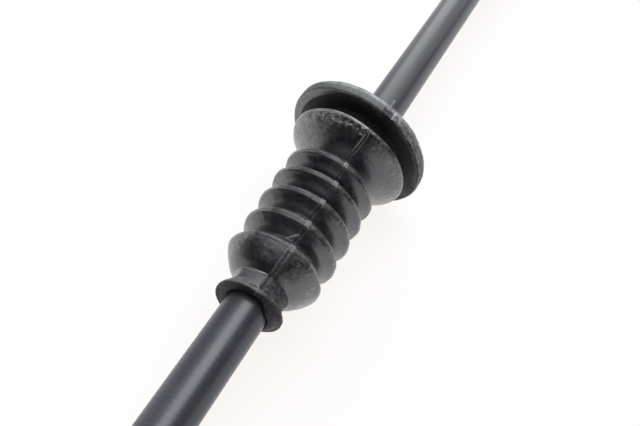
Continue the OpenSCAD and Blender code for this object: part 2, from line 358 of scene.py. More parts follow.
# %% Rubber finish
def rubber_finish(name, smooth, rough, gloss, coat):
    mat = Recipe(name)
    where = mat.place()
    cloud = mat.noise(where, 160, 5, 0.6)
    grit = mat.noise(where, 3300, 4, 0.7)
    fine = mat.noise(where, 1500, 5, 0.65)

    def broken(mark, start, end, least):
        return mat.times(mat.mark(mark), mat.ramp(fine, [(start, least), (end, 1.0)]), True)

    film = mat.ramp(cloud, [(0.38, 0.0), (0.70, 1.0)])
    colour = mat.mix(film, DEEP_BLACK, FILMED_BLACK)
    # painted fill light: the polished tone also lightens the flange's groove, which lies in shade
    colour = mat.mix(mat.times(mat.mark("bare"), 0.8, True), colour, POLISHED_AND_FILL_LIGHT)
    stray = mat.times(mat.ramp(fine, [(0.42, 0.0), (0.66, 1.0)]), STRAY_DUST)
    dust_and_reflection_amount = mat.plus(broken("dust", 0.34, 0.62, 0.30), stray, True)
    speck = mat.ramp(mat.plus(grit, mat.times(dust_and_reflection_amount, 0.18)), [(0.46, 0.0), (0.76, 1.0)])
    grey = mat.times(speck, dust_and_reflection_amount, True)
    # painted reflection: the dust tone also stands for the table's reflection on the far flanks
    colour = mat.mix(mat.times(grey, DUST_AND_REFLECTION_COVER, True), colour, DUST_AND_REFLECTION)
    streak = mat.ramp(mat.wound(where, 3600, 7), [(0.50, 0.0), (0.60, 1.0)])
    colour = mat.mix(mat.times(streak, mat.mark("scuff"), True), colour, SCRAPED)
    rub = broken("wear", 0.32, 0.58, 0.35)
    # painted highlight: the rubbed tone also stands for the crests' highlight on the left of the
    # line
    colour = mat.mix(mat.times(rub, RUB_COVER, True), colour, RUBBED_AND_HIGHLIGHT)
    line = broken("seam", 0.36, 0.54, 0.25)
    colour = mat.mix(mat.times(line, RUB_COVER, True), colour, SEAM_TONE)
    # the pale tone is mostly nubs, specks and torn flash, and partly a faint painted highlight
    colour = mat.mix(broken("pale", 0.30, 0.50, 0.55), colour, PALE)
    coarse = mat.plus(mat.times(film, 0.4), mat.times(grey, 0.8))
    shine = mat.ramp(coarse, [(0.0, smooth), (1.0, rough)])
    scratches = mat.times(mat.times(streak, mat.mark("scuff")), 0.5)
    relief = mat.plus(mat.times(grit, 0.7), mat.plus(mat.times(fine, 0.7), scratches))
    return mat.finish(mat.node("BsdfPrincipled", {
        "Base Color": colour, "Roughness": shine, "Normal": mat.bump(relief, 0.50, 0.00004),
        "Specular IOR Level": gloss, "Specular Tint": (0.95, 0.94, 1.0, 1),
        "Coat Weight": coat, "Coat Roughness": 0.36, "Coat IOR": 1.6}))


# %% [markdown]
# The mould is polished in some places and rough in others, so the rubber comes in two glosses. One
# material with its gloss and coat linked to a mark would do this in a render, but those sockets
# stay plain numbers, because an exported model can't carry a linked one. So the recipe is used
# twice, and a mark called `dull` says which faces take the second material.

# %% The two glosses of the rubber
rubber = rubber_finish("polished_rubber", 0.27, 0.44, 1.0, 0.75)
dull_rubber = rubber_finish("dull_rubber", 0.54, 0.64, 0.35, 0.0)


def two_tone(piece, material):
    piece.data.materials.append(material)
    share = [point.value for point in piece.data.attributes["dull"].data]
    for face in piece.data.polygons:
        if sum(share[k] for k in face.vertices) > 0.5 * len(face.vertices):
            face.material_index = 1
    dull = sum(face.material_index for face in piece.data.polygons)
    print(piece.name, dull, "dull faces of", len(piece.data.polygons))


print("rubber finishes:", rubber.name, "and", dull_rubber.name)

# %% [markdown]
# ### Ribbed sheath
#
# The sheath is drawn over a wound steel conduit, and the windings show through as fine ribs. The
# ribs are real geometry, so the finish only adds what lies on them: a bluish black plastic with
# cloudy grease and wear, and a lighter tone on the tops of the ribs.

# %% Sheath finish
def sheath_finish(name):
    mat = Recipe(name)
    where = mat.place()
    cloud = mat.noise(where, 120, 5, 0.6)
    grit = mat.noise(where, 2400, 4, 0.6)
    film = mat.ramp(cloud, [(0.3, 0.0), (0.75, 1.0)])
    plain = mat.mix(film, (0.052, 0.051, 0.071), (0.069, 0.068, 0.089))
    colour = mat.mix(mat.times(mat.mark("rib"), 0.25, True), plain, (0.085, 0.085, 0.092))
    return mat.finish(mat.node("BsdfPrincipled", {
        "Base Color": colour, "Roughness": mat.ramp(cloud, [(0.3, 0.28), (0.8, 0.36)]),
        "Normal": mat.bump(grit, 0.10, 0.00003), "Specular IOR Level": 0.5,
        "Specular Tint": (0.90, 0.99, 1.0, 1), "Coat Weight": 0.2, "Coat Roughness": 0.40,
        "Coat IOR": 1.6}))


sheath_plastic = sheath_finish("ribbed_plastic")
print("sheath finish:", sheath_plastic.name)

# %% [markdown]
# ### Metals
#
# The fittings are turned brass with worn nickel plate. Turning leaves fine rings round the axis,
# so the scratch noise is squeezed along X. Handling wears the plate through on corners, where the
# brass shows as a warm tone. Pointiness, which is high on outer corners, says where that is, and
# saves painting a wear map for each fitting.

# %% Metal finish
def metal_finish(name, tone, worn, rough, rings=1.0, edge=0.5):
    mat = Recipe(name)
    where = mat.place()
    ring = mat.stretched(where, (5200, 60, 60), 4)
    cloud = mat.noise(where, 260, 5, 0.6)
    scratch = mat.stretched(where, (500, 4200, 4200), 3, (0.3, 0.5, 0.2))
    patch = mat.ramp(cloud, [(0.48, 0.0), (0.74, 1.0)])
    corner = mat.ramp(mat.node("NewGeometry").outputs["Pointiness"], [(0.52, 0.0), (0.62, 1.0)])
    rub = mat.plus(mat.times(patch, 0.3), mat.times(mat.times(corner, cloud), edge), True)
    marks = mat.times(mat.ramp(scratch, [(0.55, 0.0), (0.75, 1.0)]), 0.10)
    shine = mat.plus(mat.ramp(cloud, [(0.3, rough), (0.8, rough + 0.16)]), marks)
    return mat.finish(mat.node("BsdfPrincipled", {
        "Base Color": mat.mix(rub, tone, worn), "Metallic": 1.0, "Roughness": shine,
        "Normal": mat.bump(ring, 0.10 * rings, 0.00003)}))


nickel = metal_finish("worn_nickel", (0.63, 0.62, 0.60), (0.50, 0.42, 0.28), 0.20)
steel = metal_finish("ground_steel", (0.50, 0.50, 0.51), (0.38, 0.37, 0.36), 0.24, 1.0, 0.2)
spring_steel = metal_finish("drawn_steel", (0.36, 0.37, 0.39), (0.27, 0.26, 0.25), 0.28, 0.4, 0.2)
brass = metal_finish("turned_brass", (0.66, 0.49, 0.22), (0.40, 0.28, 0.13), 0.22)
print("metals:", [metal.name for metal in (nickel, steel, spring_steel, brass)])

# %% [markdown]
# ### Liner
#
# The liner is a slippery white tube between the steel conduit and the wire. It is hidden, so one
# flat tone would do, but faint clouds cost only one node and would look right in a cutaway too.

# %% Plain white liner
def liner_finish(name):
    mat = Recipe(name)
    tone = mat.mix(mat.noise(mat.place(), 300, 3), (0.70, 0.70, 0.67), (0.78, 0.78, 0.75))
    return mat.finish(mat.node("BsdfPrincipled", {"Base Color": tone, "Roughness": 0.4}))


liner_plastic = liner_finish("white_liner")
print("liner finish:", liner_plastic.name)

# %% [markdown]
# ## The sheath
#
# The sheath is one straight tube, 136 mm long and 5 mm thick, held in a ferrule at each end. The
# ribs are a helix: the radius dips
# by a few hundredths of a millimetre once a turn. A bump would be cheaper, but it would be missing
# from the exported mesh.

# %% Sheath
SHEATH_R, SHEATH_BORE_R = 2.5, 1.72
RIB_PITCH, RIB_DEPTH, ROWS_PER_RIB, BORE_ROWS = 0.65, 0.012, 5, 18
sheath_ends = (-66.0, 70.0)
rib_rows = int((sheath_ends[1] - sheath_ends[0]) / RIB_PITCH * ROWS_PER_RIB)
sheath_line = [(x, SHEATH_R) for x in np.linspace(*sheath_ends, rib_rows)]
sheath_line += [(x, SHEATH_BORE_R) for x in np.linspace(*sheath_ends[::-1], BORE_ROWS)]


def rib_height(x, a):
    sway = 0.25 * np.sin(x * 0.9) + 0.2 * np.sin(x * 0.37 + 1)
    return 0.5 + 0.5 * np.cos(2 * math.pi * x / RIB_PITCH + a + sway)


def sheath_shape(x, r, a):
    dip = RIB_DEPTH * (1 - rib_height(x, a)) * (0.75 + 0.25 * np.sin(x * 0.21 + 2))
    return x, r - np.where(r > SHEATH_BORE_R + 0.4, dip, 0), a


def sheath_marks(x, r, a):
    return {"rib": rib_height(x, a) ** 2 * (r > SHEATH_BORE_R + 0.4)}


sheath = lathe("sheath_tube", sheath_line, "cable", 72, shape=sheath_shape, marks=sheath_marks)
dress(sheath, "sheath", sheath_plastic)
print("sheath", sheath_ends[1] - sheath_ends[0], "mm long,", rib_rows, "rows")

# %% [markdown]
# ## The rubber moulding
#
# Cuff, bellows and flange are one moulding. It is made here as three swept pieces that meet face to
# face, because the cuff stays with the sheath and the flange moves with the panel. Two mould halves
# leave a raised line of flash from end to end: a pair of thin edges with a shallow channel between.
# The sweep has its steps packed close round that line, which costs far fewer points than a fine
# mesh all over. Marks and shapes are placed by `u`, the distance from the line along the way round,
# in millimetres. Seen from the thumb button it is positive on the line's left and negative on its
# right.

# %% Angles, close together at the moulding line
SEAM = math.radians(-26)


def wrapped(a):
    return (a + math.pi) % (2 * math.pi) - math.pi


def seam_angles(coarse=330, fine=38, reach=math.radians(8)):
    lines = (SEAM, SEAM + math.pi)
    whole = np.linspace(0, 2 * math.pi, coarse, endpoint=False)
    close = np.linspace(-reach, reach, 2 * fine + 1)
    both = np.concatenate([at + close for at in lines]) % (2 * math.pi)
    far = [w for w in whole if min(abs(wrapped(w - at)) for at in lines) > reach]
    return np.unique(np.concatenate([far, both]).round(7))


rubber_angles = seam_angles()
print(len(rubber_angles), "steps round the rubber")

# %% The line wanders a little along the moulding
WANDER_AT = [-26, -20.5, -17, -13.4, -10, -6.7, -4, -1.2, 3]
WANDER_DEGREES = [2.0, 0.0, 0.5, 0.0, -2.0, -0.4, 1.0, 0.4, 1.0]


def off_seam(a, r, x, at=SEAM):
    return wrapped(a - at - np.radians(np.interp(x, WANDER_AT, WANDER_DEGREES))) * r


# %% Noise and soft steps on arrays, for dents, dust and rough patches
def soft_noise(x, y, z, size, seed=0.0):
    flat = zip(x.ravel() / size + seed, y.ravel() / size, z.ravel() / size)
    return np.array([noise.noise(Vector(p)) for p in flat]).reshape(x.shape)


def blotches(place, size, seed, middle, contrast):
    return np.clip(middle + contrast * soft_noise(*place, size, seed), 0, 1)


def hump(value, middle, width):
    return np.exp(-((value - middle) / width) ** 2)


def eased_step(value, start, end):
    t = np.clip((value - start) / (end - start), 0, 1)
    return t * t * (3 - 2 * t)


def faded(value, start, end):
    return 1 - eased_step(value, start, end)


def between(value, low, high):
    return (value > low) & (value < high)


# %% [markdown]
# A soft moulding never stands quite square. This one leans sideways, more and more towards the
# flange, and its last folds and its shoulder tip towards the cuff on one side, so that the groove
# gapes there. The solids stay straight. A lattice could bend the meshes, but adding the lean to the
# swept points keeps it in one short function that the loose scraps of flash can use too.

# %% Lean and tip of the moulding
LEAN = 0.42
TIP_AT = [-15.5, -13.4, -10.0, -6.65, -1.3, 0.0, 0.9]
TIP_SIDEWAYS = [0.0, 0.6, 2.4, 3.9, 5.6, 5.8, 6.0]
TIP_UP = [0.0, 0.8, 3.2, 5.2, 7.2, 6.4, 5.2]


def relaxed(x, y, z):
    sideways = np.radians(np.interp(x, TIP_AT, TIP_SIDEWAYS))
    up = np.radians(np.interp(x, TIP_AT, TIP_UP))
    return x + sideways * y - up * z, y + LEAN * eased_step(x, -20, -4), z


# %% Flash along the moulding line
LINE_GAP_AT = [-26, -20.5, -18.8, -4.4, -3.2, 9]
LINE_GAP = [0.24, 0.26, 0.24, 0.20, 0.19, 0.20]
SEAM_SPAN = [-20.5, -18.8, -4.4, -3.2]


def line_gap(x):
    return np.interp(x, LINE_GAP_AT, LINE_GAP)


def flash(x, r, a, height, width=0.06):
    rise = 0 * x
    half = line_gap(x)
    for at, share in ((SEAM, 1.0), (SEAM + math.pi, 0.7)):
        u = off_seam(a, r, x, at)
        patchy = np.clip(0.75 + 1.1 * soft_noise(x, 0 * x + at, r, 1.3, 4.0), 0.12, 1.3)
        left, right = hump(u, half, width), 0.7 * hump(u, -half, width)
        rise = rise + share * height * ((left + right) * patchy - 0.4 * hump(u, 0, 0.11))
    return rise


def seam_mark(x, r, a):
    half = line_gap(x)
    u = off_seam(a, r, x)
    wide = np.interp(x, SEAM_SPAN, [0.11, 0.06, 0.06, 0.07])
    share = np.interp(x, SEAM_SPAN, [1.0, 0.85, 0.80, 0.9])
    channel = 0.45 * hump(u, 0, 0.2) * faded(x, -20.5, -19.5)
    return share * np.maximum(hump(u, half, wide) + 0.8 * hump(u, -half, wide), channel)


# %% Lines of the three rubber pieces
CREST_R = [5.6, 5.72, 5.80, 5.84, 5.84]
crest_x = [-20.5, -16.95, -13.4, -10.0, -6.65]
HOLLOW_CREST_R = 4.55
VALLEY, CUFF_NECK_R, LAST_VALLEY = 3.75, 3.27, 3.90
WALL = 0.8
SHOULDER, FLANGE_R = 7.8, 9.0
CUFF_X, JOIN_X, FLANGE_X = -26.0, -23.3, -4.4


def valley_after(i):
    return (crest_x[i] + crest_x[i + 1]) / 2 + 0.15


def fold_line(x, x0, x1, crest, r0, r1, belly):
    rise, drop, front, back = crest - r0, crest - r1, x - x0, x1 - x
    return [(x0, r0), (x0 + front * 0.24, r0 + rise * (belly - 0.36)),
            (x0 + front * 0.60, r0 + rise * belly), (x - 0.36, crest - 0.12), (x, crest),
            (x + 0.28, crest - 0.10), (x + back * 0.48, r1 + drop * 0.62),
            (x + back * 0.82, r1 + drop * 0.20)]


folds = []
for i, x in enumerate(crest_x):
    first, last = i == 0, i == len(crest_x) - 1
    folds += fold_line(
        x, JOIN_X if first else valley_after(i - 1), FLANGE_X if last else valley_after(i),
        CREST_R[i], CUFF_NECK_R if first else VALLEY, LAST_VALLEY if last else VALLEY,
        0.74 if first else 0.78)
folds.append((FLANGE_X, LAST_VALLEY))
bellows_outer = stepped(flowing(folds, 6), 0.11, closed=False)
close_to_first = [i for i, p in enumerate(bellows_outer) if abs(p[0] - crest_x[0]) < 0.7]
start, end = close_to_first[0], close_to_first[-1] + 1
bellows_outer[start:end] = stepped(bellows_outer[start:end], 0.045, closed=False)
print(len(bellows_outer), "points on the bellows' outside")

# %% [markdown]
# ### Bellows
#
# Each fold rises as a cone to a thin crest. The moulding line crosses every crest in a small pale
# nub, and the first crest, where the mould halves met badly, has a few loose ridges beside it.
# Stacked cones with a bevel would give the folds too, but not the slow swell of a cone that has
# been pulled warm from its mould, so the line flows through a few points of each fold.

# %% The bellows' surface
CREST_HALF, INSIDE_R = 0.42, 3.0


def crest_share(x, width):
    return np.max([hump(x, c, width) for c in crest_x], axis=0)


def nub_width(u):
    return np.exp(-(u / 0.30) ** 6)


def nub_height(x, r):
    top = 0 * x
    for c, crest in zip(crest_x, CREST_R):
        away = np.abs(x - c)
        raised = 0.06 if crest > 5.65 else 0.0
        top = np.maximum(top, np.where(away < 0.5, crest + raised - 1.3 * away**3, 0))
    return np.maximum(top - r, 0)


def bellows_shape(x, r, a):
    place = (x, r * np.sin(a), r * np.cos(a))
    near = crest_share(x, CREST_HALF)
    u = off_seam(a, r, x)
    nub = nub_height(x, r) * nub_width(u)
    wave = soft_noise(*place, 4.0, 7.3) * 0.08 + soft_noise(*place, 1.1, 2.1) * 0.03
    wave = wave + soft_noise(*place, 0.4, 2.9) * 0.012
    ragged = hump(x, crest_x[0] + 0.05, 0.36) * eased_step(u, 0.1, 0.5) * faded(u, 2.4, 5.0)
    turns = (x - crest_x[0]) * 17 + u * 0.9 + 5 * soft_noise(*place, 0.9, 1.0)
    ridges = ragged * 0.018 * np.sin(turns)
    ridges = ridges + 0.05 * soft_noise(*place, 0.35, 6.6) * near * (u < -0.3)
    smooth_top = crest_share(x, 0.35) * (x > -19)
    line = flash(x, r, a, 0.09) * (0.5 + 0.5 * near) * (1 - smooth_top)
    grow = line + nub + wave + ridges
    sway = 0.06 * soft_noise(*place, 3.0, 5.0) * near
    return x + sway, r + np.where(r > INSIDE_R, grow, 0), a


# %% [markdown]
# The crests are rubbed, with blotches on the right of the line. On its left a bright even band
# stands in for the crests' highlight, so there the rubbed tone is partly a painted highlight. Far
# round on both sides the cones are lighter, partly dust and partly a painted reflection of the
# table, most of all on the first. The crests near the line are rubbed matt, so that no sharp glint
# runs along them.

# %% Where the bellows are rubbed and dusty, with painted highlight and reflection
def bellows_marks(x, r, a):
    place = (x, r * np.sin(a), r * np.cos(a))
    u = off_seam(a, r, x)
    outside = r > 3.2
    first_cone = hump(x, -21.8, 1.8)
    first_crest = hump(x, crest_x[0], 0.6)
    beside = hump(u, 0.3, 2.6)
    blotchy = (0.12 + 0.5 * blotches(place, 0.5, 4.4, 0.5, 2.2)) * (1 - 0.4 * first_crest)
    # painted highlight: on the left of the line the crest band is bright and even, standing in for
    # the crests' highlight; on the right it is blotchy wear
    lit = np.where(u > -0.3, 0.52 + 0.48 * beside, blotchy)
    lit = np.maximum(lit, 0.75 * hump(x, crest_x[0], 0.25) * (u < 0))
    wide = np.where(u > -0.3, 0.26 + (0.12 + 0.05 * first_crest) * beside,
                    0.22 + 0.26 * hump(u, -0.3, 3.0))
    crest = crest_share(x, wide)
    nubs = nub_width(u) * crest_share(x, CREST_HALF) * (r > 5.0)
    right = eased_step(-u, 0.1, 1.2)
    # dust and painted reflection: far round on both sides the cones are lighter, partly dust and
    # partly a painted reflection of the table
    far_right = eased_step(-u, 3.4, 5.6)
    far_left = eased_step(u, 4.2 - 0.9 * first_cone, 7.2 - 0.9 * first_cone)
    dust = 0.03 + 0.06 * blotches(place, 2.2, 8.0, 0.5, 1.4)
    dust = dust + right * (0.10 + 0.08 * first_cone) + far_right * (0.17 + 0.23 * first_cone)
    dust = dust + far_left * (0.30 + 0.30 * first_cone)
    dull = (crest_share(x, 0.36) > 0.5) & (r > 5.0) & between(u, -2.6, 4.5)
    return {"wear": np.clip(crest * (r > 5.1) * lit, 0, 1),
            "seam": outside * np.clip(seam_mark(x, r, a), 0, 1),
            "dust": outside * np.clip(dust, 0, 1),
            # pale nubs, and a faint painted highlight on the crests beside the line
            "pale": nubs * np.where(x > -19, 0.14, 0.08) + 0.05 * crest * hump(u, 0.6, 2.2),
            "scuff": outside * right * (0.12 + 0.45 * hump(x, -21.3, 1.6)),
            "dull": dull * 1.0}


# %% Bellows
inside = [(FLANGE_X, VALLEY - 0.65)]
for i in range(len(crest_x) - 1, -1, -1):
    inside += [(crest_x[i] + 0.25, HOLLOW_CREST_R), (crest_x[i] - 0.25, HOLLOW_CREST_R)]
    inside.append((valley_after(i - 1), VALLEY - WALL) if i else (JOIN_X, 2.62))
bellows = lathe("bellows_folds", bellows_outer + inside, None, angles=rubber_angles,
                shape=bellows_shape, marks=bellows_marks, settle=relaxed)
dress(bellows, "bellows", rubber)
two_tone(bellows, dull_rubber)
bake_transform(bellows)

# %% [markdown]
# ### Cuff
#
# The cuff grips the sheath behind a thin flared lip. The face on one side of the moulding line is
# smooth and stands a little proud, and ends at the line in a step; the face on the other side is
# torn and rough. Both are made on the swept points: a plane for the smooth face, and noise for the
# torn one. Sculpting would do it too, but a script couldn't repeat the strokes.

# %% The cuff's line and surface
cuff_line = flowing([
    (CUFF_X + 0.06, 3.5), (CUFF_X - 0.02, 3.74), (CUFF_X + 0.10, 3.9), (CUFF_X + 0.42, 3.82),
    (CUFF_X + 0.95, 3.48), (CUFF_X + 1.5, 3.22), (CUFF_X + 1.9, 3.15), (CUFF_X + 2.35, 3.19),
    (JOIN_X, CUFF_NECK_R)], 8)
cuff_line += flowing([
    (JOIN_X, 2.51), (CUFF_X + 0.8, 2.51), (CUFF_X + 0.18, 2.53), (CUFF_X + 0.03, 2.7),
    (CUFF_X, 3.0)], 6)
CUFF_SKIN_R = 3.13
FACET_R, FACET_MIDDLE, FACET_HALF = 3.12, math.radians(12), 0.62


def cuff_shape(x, r, a):
    y, z = r * np.sin(a), r * np.cos(a)
    u = off_seam(a, r, x)
    worn = eased_step(-u, 0.2, 2.0) * faded(-u, 8, 11)
    drawn = 0.14 * eased_step(r, 3.2, 3.85) - 0.60 * faded(r, 2.6, 3.7)
    x = x + worn * drawn * faded(x, CUFF_X + 0.35, CUFF_X + 1.3)
    rough_side = eased_step(-u, -0.1, 0.5) * faded(-u, 6.0, 8.0)
    plain_side = eased_step(u, 0.05, 0.2) * faded(u, 2.2, 4.0)
    torn = soft_noise(x, y, z, 0.24, 3.0) * 0.035 + soft_noise(x, y, z, 0.6, 9.0) * 0.025
    flat = FACET_R / np.cos(np.clip(wrapped(a) - FACET_MIDDLE, -FACET_HALF, FACET_HALF))
    along = eased_step(x, CUFF_X + 0.72, CUFF_X + 0.88) * faded(x, JOIN_X - 0.45, JOIN_X)
    facet = plain_side * along * (0.05 + 0.75 * (flat - r))
    lift = flash(x, r, a, 0.10) * (x > CUFF_X + 0.5) + torn * rough_side + facet
    outside = (r > CUFF_SKIN_R) & (x > CUFF_X + 0.25)
    wave = soft_noise(x, y, z, 3.0, 1.0) * 0.05
    return x, r + np.where(outside, lift, 0) + wave * (r > CUFF_SKIN_R), a


# %% [markdown]
# The smooth face is as the mould left it, and grit holds in the torn side. The lip is rubbed, and
# lighter on its left as a painted highlight. Far round on both sides the cuff is lighter, partly
# dust and partly a painted reflection of the table. The lip, the front and the torn side are matt.

# %% Where the cuff is rubbed and dusty, with painted highlight and reflection
def cuff_marks(x, r, a):
    u = off_seam(a, r, x)
    outer = (r > 3.05) & (x > CUFF_X - 0.05)
    front = (x < CUFF_X + 0.08) & (r < np.where(u > -0.5, 3.75, 3.2))
    face = eased_step(u, 0.0, 0.15) * faded(u, 3.2, 5.0) * hump(x, -24.1, 1.1)
    rough_side = eased_step(-u, 0.1, 0.6) * faded(-u, 6.0, 8.0)
    left = eased_step(u, -0.3, 0.3)
    # painted highlight: the lip is lighter on the left of the line, in its rubbed tone and a faint
    # pale tone
    lip = hump(x, CUFF_X + 0.35, 0.3) * (r > 3.6) * (0.15 + 0.80 * left)
    # dust and painted reflection: far left and far right are lighter, partly dust and partly a
    # painted reflection; grit holds in the torn side
    dust = 0.05 + 0.18 * rough_side + 0.8 * eased_step(u, 3.0, 5.5) + 0.45 * eased_step(-u, 2.5, 5)
    front_share = np.where(front, np.where(u > 0, 0.6, 0.3), 1)
    torn_side = between(u, -5.5, 0.32) & (x < JOIN_X + 0.01)
    return {"wear": lip,
            "seam": outer * seam_mark(x, r, a),
            "dust": outer * np.clip(dust, 0, 1) * front_share,
            "bare": outer * face,
            "pale": 0.05 * lip * left,
            "scuff": 0.35 * rough_side * (outer & ~front),
            "dull": (front | (x < CUFF_X + 0.62) | torn_side) * 1.0}


# %% Cuff
cuff = lathe("cuff_collar", stepped(cuff_line, 0.1), "cable", angles=rubber_angles,
             shape=cuff_shape, marks=cuff_marks)
dress(cuff, "grommet_cuff", rubber)
two_tone(cuff, dull_rubber)

# %% [markdown]
# ### Shoulder, groove and flange
#
# The shoulder is a smooth bowl with a thin lip. Behind it lies the groove that the panel sits in,
# and then the flange, a thicker ring with rounded edges. All three are one profile, so the groove's
# walls are as thin and as true as the line says; joining three rings would leave seams inside them.
# The moulding line runs up the bowl and over the flange's edge, where it has left a shallow recess
# and a raised rear lip.

# %% The flange's line
HALF = 0.9
REAR = HALF + 2.1
GROOVE_R, FLANGE_BORE_R = 6.2, 5.3
shoulder_line = flowing([
    (FLANGE_X, LAST_VALLEY), (-4.1, 4.35), (-3.72, 5.0), (-3.1, 5.9), (-2.35, SHOULDER - 0.9),
    (-1.85, SHOULDER - 0.35), (-1.62, SHOULDER - 0.14), (-1.42, SHOULDER - 0.04),
    (-1.22, SHOULDER), (-1.05, SHOULDER - 0.14), (-0.94, SHOULDER - 0.5), (-HALF, 6.9)], 7)
rear_line = eased([
    (-HALF, 6.9), (-HALF, GROOVE_R), (HALF, GROOVE_R), (HALF, FLANGE_R - 0.8),
    (HALF + 0.02, FLANGE_R - 0.16), (HALF + 0.12, FLANGE_R - 0.02), (HALF + 1.52, FLANGE_R),
    (HALF + 1.85, FLANGE_R - 0.45), (HALF + 2.0, FLANGE_R - 1.5), (REAR, 6.0), (REAR, 5.5),
    (HALF + 1.9, FLANGE_BORE_R), (-0.4, FLANGE_BORE_R), (-1.6, 5.0), (-3.7, 3.6),
    (FLANGE_X, VALLEY - 0.65)], 0.12, 4, closed=False)
flange_line = stepped(shoulder_line + rear_line[1:], 0.14)


# %% The flange's surface
def flange_shape(x, r, a):
    place = (x, r * np.sin(a), r * np.cos(a))
    u = off_seam(a, r, x)
    turned = wrapped(a)
    swell = 0.34 * hump(turned, math.radians(52), 0.5) * (x > -0.85)
    swell = swell + 0.22 * hump(turned, math.radians(-108), 0.42) * (x > 0.5)
    swell = swell * eased_step(r, 6.4, 8.6)
    swell = swell + soft_noise(*place, 0.45, 2.2) * 0.018 * (r > 5.6)
    bowl = (x < -0.95) & (r > 4.2)
    rim = between(x, HALF + 0.1, HALF + 1.9) & (r > FLANGE_R - 0.6)
    lip = hump(x, HALF + 1.40, 0.16) * eased_step(u, -12.0, -1.0) * faded(u, 5.0, 9.0)
    lip = 0.14 * lip * (1 + 0.6 * soft_noise(*place, 0.6, 8.1))
    rise = np.where(bowl, flash(x, r, a, 0.12), 0) + np.where(rim, lip, 0)
    under_lip = hump(x, -1.9, 0.24) * eased_step(u, -0.4, 0.3) * faded(u, 7.0, 10.0)
    cut = under_lip * (0.06 + 0.22 * soft_noise(*place, 0.38, 6.0)) * bowl
    recess = eased_step(-u, -0.15, 0.0) * faded(-u, 0.9, 1.5) * (1 - hump(x, HALF + 1.42, 0.2))
    recess = recess * (0.12 + 0.07 * soft_noise(*place, 0.4, 3.3))
    rugged = eased_step(-u, 2.2, 3.0) * faded(-u, 17, 21)
    rugged = 0.02 * rugged * np.sin(x * 11 + 3 * soft_noise(*place, 1.6, 5.5))
    free = (r > 5.6) & (x < REAR + 0.2)
    wave = np.where(free, soft_noise(*place, 5.0, 4.0) * 0.12, 0)
    keep = np.clip((FLANGE_R + 0.1 - r) / 1.2, 0.0, 1.0)
    return x + 0.8 * wave, r + swell + rise - cut - (recess + rugged) * rim + wave * keep, a


# %% [markdown]
# The flange is marked in three parts, and the marks are added up. The bowl has a pale lip, broken
# by specks below it, and a pale tone that thickens away from the line on both sides: dust, and
# a painted reflection of the table on its left flank and its lower right. The groove is in shade,
# and its faces are matt, but a lighter tone is painted in it as fill light, most on the right of
# the line. The front is lighter on its lower right, partly specks and partly a painted highlight.
# The edge is polished on the left of the line, and on the right it is scraped matt, with a pale
# rear line that fades as it goes round.

# %% Where the bowl is rubbed and dusty, with painted reflection on its flanks
def bowl_marks(bowl, place, x, r, u, patch):
    lip = hump(x, -1.25, 0.22) * (r > SHOULDER - 0.5)
    beside = 0.35 * hump(u, 0.5, 2.5)
    lip = lip * (0.25 + (0.55 + beside) * eased_step(u, -0.5, 0.3))
    right_edge = 0.42 * bowl * hump(r, SHOULDER - 0.35, 0.8) * eased_step(-u, 0.5, 2.0)
    left_edge = 0.6 * bowl * hump(r, SHOULDER - 0.45, 0.45) * (u > 0)
    # dust and painted reflection: the lower right and the left flank of the bowl are lighter,
    # partly dust and partly a painted reflection of the table
    deep = faded(r, 5.8, 6.8)
    right = 0.05 * eased_step(-u, 1.0, 2.5) + (0.05 + 0.35 * deep) * eased_step(-u, 4.8, 7.4)
    right = right + 0.5 * eased_step(-u, 8.0, 12.0)
    left = 0.62 * eased_step(u, 2.0, 6.0)
    specks = 0.17 * eased_step(-u, 0.5, 1.5) + 0.09 * eased_step(u, 0.0, 1.0) * faded(u, 7, 10)
    specks = specks * blotches(place, 0.42, 9.3, 0.1, 2.6) * hump(r, SHOULDER - 0.45, 0.6)
    return {"wear": lip, "dust": patch * (right_edge + left_edge) + bowl * (left + right),
            "pale": bowl * specks, "scuff": 0.8 * right_edge}


# %% Where the groove and the flange's front are dusty, with painted fill light and highlight
def groove_marks(x, r, u, patch):
    front = between(x, 0.5, HALF + 0.4) & (r > GROOVE_R)
    far_left = 0.36 * eased_step(u, 9.0, 12.5) * faded(u, 17, 21)
    # painted highlight: the front's lower right is lighter, partly pale specks and partly a painted
    # highlight
    low_right = eased_step(-u, 8.0, 11.0) * faded(-u, 17, 21)
    front_dust_and_highlight = front * (far_left + 0.05 * low_right + 0.10 * eased_step(-u, 2.5, 5.5))
    groove = between(x, -1.05, HALF + 0.1) & (r < 8.2)
    # painted fill light: the groove lies in shade, and this lightens it with the polished tone,
    # most on the right of the line
    groove_fill_light = between(x, -1.05, HALF + 0.06) & (r < 8.7)
    outer_face = between(x, HALF - 0.05, HALF + 0.12) & (r > 8.3)
    outer_face = outer_face * eased_step(-u, 1.5, 3.0) * (1 - 0.7 * eased_step(-u, 8.0, 12.0))
    return {"dust": front_dust_and_highlight + 0.08 * ~groove + 0.5 * outer_face,
            "bare": 0.95 * groove_fill_light * (0.35 + 0.65 * eased_step(-u, 0.5, 4.0)),
            "pale": 0.15 * front * low_right * patch, "scuff": outer_face,
            "dull": between(x, -1.0, HALF + 0.05) & ((r < 8.0) | (u < -0.5))}


